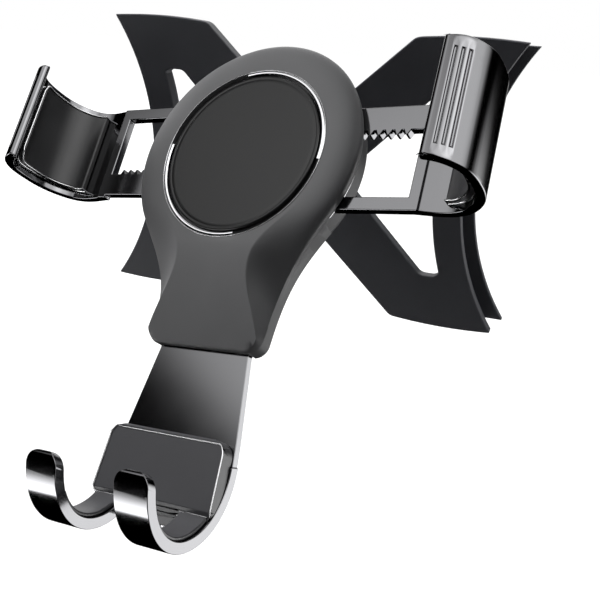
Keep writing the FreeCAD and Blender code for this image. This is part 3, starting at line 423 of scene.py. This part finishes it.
def head_rib(seam, inner, out, angle, scoop, soft):
    """Points (x, y, z) of one rib, from the recess floor to the seam."""
    share = eased(-seam.y, -NECK_TOP, FLANK_FOOT)
    widest = seam + out * (BELLY_RADIUS - SEAM_RADIUS) * (1 - share)
    rim = BELLY_DEPTH + (NECK_RIM - BELLY_DEPTH) * eased(-seam.y, FLANK_TOP, FLANK_FOOT)
    if seam.y < -NECK_LENGTH + FOOT_BAND:
        rim = front_fall(seam.y) + FOOT_FALL + KNEE_FALL * eased(abs(seam.x), *KNEE_EDGE)
    floor = turned(RECESS_RADIUS, angle)
    row = [(floor, DISC_DEPTH), (floor, RECESS_ROUND),
           (turned(RECESS_RADIUS + RECESS_EASE, angle), RECESS_EASE)]
    lip = turned(RECESS_RADIUS + RECESS_ROUND, angle)
    for i in range(FACE_STEPS + 1):
        at = lip.lerp(inner, i / FACE_STEPS)
        row.append((at, front_fall(at.y)))
    width = (widest - inner).length
    for i in range(1, FLANK_STEPS + 1):
        part = 1 - (1 - i / FLANK_STEPS) ** FLANK_CROWD
        at = inner.lerp(widest, part)
        fall = front_fall(at.y)
        row.append((at, fall + (rim - fall) * edge_profile(part, scoop, soft / width)))
    tuck = SEAM_DEPTH + (RIM_TUCK - SEAM_DEPTH) * share
    for part in TUCK_PARTS:
        row.append((widest.lerp(seam, part * part), rim + (tuck - rim) * part))
    row.append((seam, SEAM_DEPTH + SEAM_STEP if seam.y > NECK_TOP else NECK_BACK))
    return [(p.x, y, p.y) for p, y in row]


def head_shell_mesh():
    """Outer surface of the head, from ribs mirrored about its middle."""
    right = right_ribs()
    count = len(right)
    mesh = bpy.data.meshes.new("head_shell")
    work = bmesh.new()
    rings = []
    for i, (seam, inner, angle, scoop, soft) in enumerate(right):
        before = right[i - 1][0] if i else Vector((-right[1][0].x, right[1][0].y))
        after = right[i + 1][0] if i + 1 < count else Vector((-before.x, before.y))
        out = Vector((after.y - before.y, before.x - after.x)).normalized()
        rings.append(head_rib(seam, inner, out, angle, scoop, soft))
    for rib in reversed(rings[1:count - 1]):
        rings.append([(-x, y, z) for x, y, z in rib])
    rings = [[work.verts.new(point) for point in rib] for rib in rings]
    centre = work.verts.new((0, DISC_DEPTH, 0))
    for one, two in zip(rings, rings[1:] + rings[:1]):
        work.faces.new((centre, two[0], one[0]))
        for k in range(len(one) - 1):
            work.faces.new((one[k], two[k], two[k + 1], one[k + 1]))
    bmesh.ops.recalc_face_normals(work, faces=work.faces)
    work.to_mesh(mesh)
    work.free()
    mesh.transform(HEAD_MM)
    return mesh


def block(x0, x1, y0, y1, z0, z1, matrix):
    """Plain cutter block between two corners."""
    mesh = bpy.data.meshes.new("cutter")
    work = bmesh.new()
    bmesh.ops.create_cube(work, size=1.0)
    scale = Matrix.Diagonal((x1 - x0, y1 - y0, z1 - z0, 1))
    middle = Matrix.Translation(((x0 + x1) / 2, (y0 + y1) / 2, (z0 + z1) / 2))
    work.transform(matrix @ middle @ scale)
    work.to_mesh(mesh)
    work.free()
    return mesh


def joined(meshes):
    """One mesh from several."""
    work = bmesh.new()
    for mesh in meshes:
        work.from_mesh(mesh)
        bpy.data.meshes.remove(mesh)
    made = bpy.data.meshes.new("joined")
    work.to_mesh(made)
    work.free()
    return made


def applied(piece):
    """Bakes a piece's modifiers into its mesh."""
    graph = bpy.context.evaluated_depsgraph_get()
    made = bpy.data.meshes.new_from_object(piece.evaluated_get(graph))
    old = piece.data
    piece.modifiers.clear()
    piece.data = made
    bpy.data.meshes.remove(old)
    return piece


def head_shell():
    """The head's front shell, walled and cut for the rails and the arm."""
    piece = link_piece("head_shell", head_shell_mesh(), node="front_cover",
                       material=COVER)
    wall = piece.modifiers.new("wall", "SOLIDIFY")
    wall.thickness = SHELL_WALL * MM
    wall.offset = -1.0
    rails = []
    for side in (1, -1):
        x0, x1 = sorted((side * WINDOW_INNER, side * WINDOW_OUTER))
        for near, far in WINDOW_HEIGHTS:
            z0, z1 = sorted((PINION_Z + side * near, PINION_Z + side * far))
            rails.append(block(x0, x1, WINDOW_FRONT, WINDOW_BACK, z0, z1, HEAD_MM))
    rails.append(block(-SLOT_HALF, SLOT_HALF, SLOT_FRONT, SLOT_BACK, SLOT_FOOT, SLOT_TOP,
                       HEAD_MM))
    cutter = bpy.data.objects.new("cutter", joined(rails))
    bpy.context.scene.collection.objects.link(cutter)
    cut = piece.modifiers.new("openings", "BOOLEAN")
    cut.operation = "DIFFERENCE"
    cut.solver = "EXACT"
    cut.object = cutter
    applied(piece)
    bpy.data.objects.remove(cutter)
    shade(piece.data, SHELL_ANGLE)


head_shell()

# Pieces with broken edges

dressed("rear_cover", COVER, bevel=0.22)
dressed("bracket_plate", BRACKET, bevel=0.45)
for side in ("left", "right"):
    dressed(side + "_arm", PLATED, bevel=0.28)
    dressed(side + "_clamp_pad", RUBBER, bevel=0.5)
    dressed("grip_flange_" + side, BRACKET, bevel=0.35)
dressed("gravity_arm", PLATED, bevel=0.16, segments=2)
dressed("arm_pad", SHIELD, bevel=0.35)
dressed("lock_nut", BRACKET, bevel=0.2)
dressed("slider_rack", ACETAL, bevel=0.08)
dressed("pinion", ACETAL, bevel=0.06)


# Raised lines round the pads, the disc's recess and the seam, in bright metal as painted highlights on those edges

FRONT_TURN = math.radians(32)
LINE_SIDES = 10
PAD_LINE, SHIELD_LINE, LIP_LINE, BEAD_LINE = 0.25, 0.18, 0.1, 0.25
LIP_RADIUS, LIP_DEPTH, LIP_STEPS = 23.12, -0.01, 180
BEAD_RADIUS, BEAD_DEPTH, BEAD_STEPS = 29.86, 5.75, 120
BEAD_START, BEAD_SWEEP = -30, 240


def front_loop(node):
    """Points round the border of a node's front face, in order."""
    work = bmesh.new()
    work.from_mesh(clean_copy(node))
    front = max(work.faces, key=lambda face: -face.normal.dot(HEAD_BACK) * face.calc_area())
    region, waiting = {front}, [front]
    while waiting:
        for edge in waiting.pop().edges:
            for face in edge.link_faces:
                if face not in region and edge.calc_face_angle(0) < FRONT_TURN:
                    region.add(face)
                    waiting.append(face)
    border = [edge for edge in work.edges
              if sum(face in region for face in edge.link_faces) == 1]
    beside = {}
    for edge in border:
        for vert in edge.verts:
            beside.setdefault(vert, []).append(edge.other_vert(vert))
    start = min(beside, key=lambda vert: vert.co.z)
    loop, last = [start], None
    while len(loop) <= len(beside):
        here = loop[-1]
        step = next((vert for vert in beside[here] if vert != last), None)
        if step is None or step == start:
            break
        last = here
        loop.append(step)
    points = [vert.co.copy() for vert in loop]
    work.free()
    return points


def line_tree():
    """Geometry Nodes: a round bar along the edges of a path."""
    tree = bpy.data.node_groups.new("painted_highlight_line", "GeometryNodeTree")
    face = tree.interface
    face.new_socket(name="Path", in_out="INPUT", socket_type="NodeSocketGeometry")
    radius = face.new_socket(name="Radius", in_out="INPUT", socket_type="NodeSocketFloat")
    radius.default_value = 0.0002
    sides = face.new_socket(name="Sides", in_out="INPUT", socket_type="NodeSocketInt")
    sides.default_value = LINE_SIDES
    face.new_socket(name="Finish", in_out="INPUT", socket_type="NodeSocketMaterial")
    face.new_socket(name="Line", in_out="OUTPUT", socket_type="NodeSocketGeometry")
    nodes, links = tree.nodes, tree.links
    entry = nodes.new("NodeGroupInput")
    leave = nodes.new("NodeGroupOutput")
    curve = nodes.new("GeometryNodeMeshToCurve")
    ring = nodes.new("GeometryNodeCurvePrimitiveCircle")
    bar = nodes.new("GeometryNodeCurveToMesh")
    bar.inputs["Fill Caps"].default_value = True
    whole = nodes.new("GeometryNodeRealizeInstances")
    paint = nodes.new("GeometryNodeSetMaterial")
    links.new(entry.outputs["Path"], curve.inputs[0])
    links.new(entry.outputs["Sides"], ring.inputs["Resolution"])
    links.new(entry.outputs["Radius"], ring.inputs["Radius"])
    links.new(curve.outputs[0], bar.inputs["Curve"])
    links.new(ring.outputs[0], bar.inputs["Profile Curve"])
    links.new(bar.outputs[0], whole.inputs[0])
    links.new(whole.outputs[0], paint.inputs["Geometry"])
    links.new(entry.outputs["Finish"], paint.inputs["Material"])
    links.new(paint.outputs[0], leave.inputs["Line"])
    return tree


RAISED_LINE = line_tree()


def painted_highlight_line(name, points, closed, radius, body):
    """Fine raised line through the points, on a body of the part, in bright metal as a painted edge highlight."""
    path = bpy.data.meshes.new(name)
    steps = [(i, i + 1) for i in range(len(points) - 1)]
    path.from_pydata(points, steps + [(len(points) - 1, 0)] * closed, [])
    holder = bpy.data.objects.new(name, path)
    bpy.context.scene.collection.objects.link(holder)
    nodes = holder.modifiers.new("line", "NODES")
    nodes.node_group = RAISED_LINE
    sockets = {item.name: item.identifier for item in RAISED_LINE.interface.items_tree
               if item.in_out == "INPUT"}
    nodes[sockets["Radius"]] = radius * MM
    nodes[sockets["Sides"]] = LINE_SIDES
    nodes[sockets["Finish"]] = PAINTED_HIGHLIGHT
    mesh = applied(holder).data
    work = bmesh.new()
    work.from_mesh(mesh)
    bmesh.ops.recalc_face_normals(work, faces=work.faces)
    work.to_mesh(mesh)
    work.free()
    bpy.data.objects.remove(holder)
    shade(mesh, 60)
    link_piece(name, mesh, body=body, material=PAINTED_HIGHLIGHT)


def arc_points(radius, depth, start, sweep, steps):
    """Points on an arc about the head's axis, both ends included."""
    return [HEAD_MM @ Vector((radius * math.cos(a), depth, radius * math.sin(a)))
            for a in (math.radians(start + sweep * i / steps) for i in range(steps + 1))]


# Painted highlights: bright lines round the clamp pads and the shield, where their edges catch light
for side in ("left", "right"):
    painted_highlight_line(side + "_pad_highlight", front_loop(side + "_clamp_pad"), True, PAD_LINE,
                side + "_arm")
painted_highlight_line("shield_highlight", front_loop("arm_pad"), True, SHIELD_LINE, "slider")

# Bright arcs round the disc

ARC_START, ARC_SWEEP, ARC_STEPS = -6.5, 108.0, 64
ARC_IN, ARC_OUT = 22.0, 22.95
arc_profile = [(ARC_IN, 0.9), (ARC_IN, -0.02), (ARC_IN + 0.12, -0.12),
               (ARC_OUT - 0.25, -0.14), (ARC_OUT, 0.02), (ARC_OUT, 0.9)]
for name, start in (("ring_arc_upper", ARC_START), ("ring_arc_lower", ARC_START + 180)):
    arc_mesh = swept_arc(arc_profile, start, ARC_SWEEP, ARC_STEPS, HEAD_MM)
    shade(arc_mesh, 50)
    link_piece(name + "_trim", arc_mesh, node=name, material=BRIGHT)

# Fine lip outside the arcs, and the bead in the head's seam, both in bright metal as painted highlights on those
# edges

lip_points = arc_points(LIP_RADIUS, LIP_DEPTH, 0, 360, LIP_STEPS)[:-1]
painted_highlight_line("recess_lip_highlight", lip_points, True, LIP_LINE, "head")
bead_points = arc_points(BEAD_RADIUS, BEAD_DEPTH, BEAD_START, BEAD_SWEEP, BEAD_STEPS)
painted_highlight_line("seam_highlight", bead_points, False, BEAD_LINE, "head")

# CAD nodes that stay, each in the finish of its slot

for name in SLOT_OF:
    node = frame["nodes"][name]
    if not node.hide_render:
        finish = {"screw": STEEL, "gear": ACETAL, "pad": RUBBER,
                  "stud": STUD}.get(SLOT_OF[name], BRACKET)
        node.data.materials.clear()
        node.data.materials.append(finish)

# Camera, fitted to the photograph

EYE = Vector((0.073347, -0.237505, 0.046849))
LOOK = Vector((-0.28253, 0.89746, -0.33874))
ACROSS = Vector((0.9462, 0.31879, 0.05541))
DOWN = Vector((0.15771, -0.30486, -0.93925))
FOCAL_PIXELS = 844.92
IMAGE_PIXELS = 600
SENSOR = 36.0

camera_data = bpy.data.cameras.new("camera")
camera_data.sensor_width = SENSOR
camera_data.lens = FOCAL_PIXELS / IMAGE_PIXELS * SENSOR
camera_data.clip_start = 0.01
camera_data.clip_end = 20.0
camera = bpy.data.objects.new("camera", camera_data)
camera.matrix_world = Matrix.Translation(EYE) @ Matrix(
    (ACROSS, -DOWN, -LOOK)).transposed().to_4x4()
bpy.context.scene.collection.objects.link(camera)
bpy.context.scene.camera = camera


# Studio

def lamp(name, place, target, size, power):
    """Softbox for matt surfaces only: gloss sees the studio world instead."""
    data = bpy.data.lights.new(name, "AREA")
    data.shape = "RECTANGLE"
    data.size, data.size_y = size
    data.energy = power
    made = bpy.data.objects.new(name, data)
    made.location = place
    made.rotation_euler = (Vector(target) - Vector(place)).to_track_quat("-Z", "Y").to_euler()
    made.visible_glossy = False
    bpy.context.scene.collection.objects.link(made)


CENTRE = (cad_low + cad_high) / 2
lamp("key_softbox", (-0.90, 0.08, 0.42), CENTRE, (0.5, 0.5), 28.0)
lamp("right_softbox", (0.65, -0.10, 0.20), CENTRE, (0.12, 0.8), 0.8)
lamp("top_softbox", (0.05, 0.15, 0.80), CENTRE, (0.7, 0.25), 2.5)


def floor_material():
    """White ground that keeps the object's shadow and is left out of gloss."""
    made = bpy.data.materials.new("pale_floor")
    made.use_nodes = True
    nodes, links = made.node_tree.nodes, made.node_tree.links
    nodes.clear()
    out = nodes.new("ShaderNodeOutputMaterial")
    paper = nodes.new("ShaderNodeBsdfDiffuse")
    paper.inputs["Color"].default_value = (0.3, 0.3, 0.3, 1)
    glow = nodes.new("ShaderNodeEmission")
    path = nodes.new("ShaderNodeLightPath")
    total = nodes.new("ShaderNodeAddShader")
    place = nodes.new("ShaderNodeTexCoord")
    flat = nodes.new("ShaderNodeVectorMath")
    flat.operation = "LENGTH"
    links.new(place.outputs["Object"], flat.inputs[0])
    # Brighter away from the object, so the floor ends in the white of the backdrop
    fade = nodes.new("ShaderNodeMapRange")
    fade.interpolation_type = "SMOOTHSTEP"
    for label, value in (("From Min", 0.3), ("From Max", 1.0), ("To Min", 0.82),
                         ("To Max", 1.0)):
        fade.inputs[label].default_value = value
    links.new(flat.outputs["Value"], fade.inputs["Value"])
    shown = nodes.new("ShaderNodeMath")
    shown.operation = "MULTIPLY"
    links.new(path.outputs["Is Camera Ray"], shown.inputs[0])
    links.new(fade.outputs["Result"], shown.inputs[1])
    links.new(shown.outputs[0], glow.inputs["Strength"])
    links.new(paper.outputs[0], total.inputs[0])
    links.new(glow.outputs[0], total.inputs[1])
    clear = nodes.new("ShaderNodeBsdfTransparent")
    mixed = nodes.new("ShaderNodeMixShader")
    links.new(path.outputs["Is Glossy Ray"], mixed.inputs[0])
    links.new(total.outputs[0], mixed.inputs[1])
    links.new(clear.outputs[0], mixed.inputs[2])
    links.new(mixed.outputs[0], out.inputs["Surface"])
    return made


FLOOR_REACH, FLOOR_DROP = 2.0, 0.03
FLOOR_CORNERS = ((-1, -1), (1, -1), (1, 1), (-1, 1))
floor_level = cad_low.z - FLOOR_DROP
floor_mesh = bpy.data.meshes.new("floor")
floor_mesh.from_pydata([(x * FLOOR_REACH, y * FLOOR_REACH, floor_level)
                        for x, y in FLOOR_CORNERS], [], [(0, 1, 2, 3)])
floor_mesh.materials.append(floor_material())
floor = bpy.data.objects.new("floor", floor_mesh)
bpy.context.scene.collection.objects.link(floor)


def maths(nodes, operation):
    """Math node of the given operation."""
    made = nodes.new("ShaderNodeMath")
    made.operation = operation
    return made


def aim(azimuth, height):
    """Unit direction: azimuth from the front towards the right, and height above it."""
    turn, rise = math.radians(azimuth), math.radians(height)
    return Vector((math.sin(turn) * math.cos(rise), -math.cos(turn) * math.cos(rise),
                   math.sin(rise)))


def faded(nodes, links, source, dark, light, level):
    """Level where the source passes light, nothing where it is short of dark."""
    made = nodes.new("ShaderNodeMapRange")
    made.interpolation_type = "SMOOTHSTEP"
    for label, value in (("From Min", dark), ("From Max", light), ("To Min", 0.0),
                         ("To Max", level)):
        made.inputs[label].default_value = value
    links.new(source, made.inputs["Value"])
    return made.outputs["Result"]


def glow_patch(nodes, links, sight, azimuth, height, core, reach, level):
    """Round soft light in one direction, full inside core and gone at reach degrees."""
    dot = nodes.new("ShaderNodeVectorMath")
    dot.operation = "DOT_PRODUCT"
    dot.inputs[1].default_value = aim(azimuth, height)
    links.new(sight, dot.inputs[0])
    return faded(nodes, links, dot.outputs["Value"], math.cos(math.radians(reach)),
                 math.cos(math.radians(core)), level)


# The soft lights that gloss sees: azimuth, height, core, reach and level, and the
# heights of direction (dark, light) between which one is cut off
STUDIO_LIGHTS = (
    (-57, -26, 14, 36, 8.0, ((-0.575, -0.55), (-0.20, -0.50))),
    (-42, 46, 5, 42, 1.9, ((0.454, 0.522),)),
    (50, 58, 6, 28, 3.0, ()),
    (85, 38, 8, 34, 2.4, ()),
    (122, -24, 10, 35, 4.0, ()),
    (180, 45, 8, 40, 2.0, ()),
    (-160, 5, 4, 34, 0.9, ()))


def studio_world():
    """White to the camera and soft to matt surfaces. Gloss sees a dark room with a
    few soft lights."""
    made = bpy.data.worlds.new("studio")
    made.use_nodes = True
    nodes, links = made.node_tree.nodes, made.node_tree.links
    nodes.clear()
    out = nodes.new("ShaderNodeOutputWorld")
    soft = nodes.new("ShaderNodeBackground")
    soft.inputs["Color"].default_value = (0.93, 0.95, 1.0, 1)
    soft.inputs["Strength"].default_value = 0.1
    white = nodes.new("ShaderNodeBackground")
    room = nodes.new("ShaderNodeBackground")
    place = nodes.new("ShaderNodeTexCoord")
    sight = place.outputs["Generated"]
    split = nodes.new("ShaderNodeSeparateXYZ")
    links.new(sight, split.inputs[0])
    band = None
    for azimuth, height, core, reach_out, level, cuts in STUDIO_LIGHTS:
        light = glow_patch(nodes, links, sight, azimuth, height, core, reach_out, level)
        for dark, full in cuts:
            piece = maths(nodes, "MULTIPLY")
            links.new(light, piece.inputs[0])
            links.new(faded(nodes, links, split.outputs["Z"], dark, full, 1.0),
                      piece.inputs[1])
            light = piece.outputs[0]
        if band:
            total = maths(nodes, "ADD")
            links.new(band, total.inputs[0])
            links.new(light, total.inputs[1])
            light = total.outputs[0]
        band = light
    links.new(band, room.inputs["Strength"])
    path = nodes.new("ShaderNodeLightPath")
    seen = maths(nodes, "MAXIMUM")
    links.new(path.outputs["Is Camera Ray"], seen.inputs[0])
    links.new(path.outputs["Is Transmission Ray"], seen.inputs[1])
    gloss = nodes.new("ShaderNodeMixShader")
    links.new(path.outputs["Is Glossy Ray"], gloss.inputs[0])
    links.new(soft.outputs[0], gloss.inputs[1])
    links.new(room.outputs[0], gloss.inputs[2])
    final = nodes.new("ShaderNodeMixShader")
    links.new(seen.outputs[0], final.inputs[0])
    links.new(gloss.outputs[0], final.inputs[1])
    links.new(white.outputs[0], final.inputs[2])
    white.inputs["Color"].default_value = (1, 1, 1, 1)
    room.inputs["Color"].default_value = (1, 1, 1, 1)
    links.new(final.outputs[0], out.inputs["Surface"])
    bpy.context.scene.world = made


studio_world()
bpy.context.scene.view_settings.view_transform = "Standard"
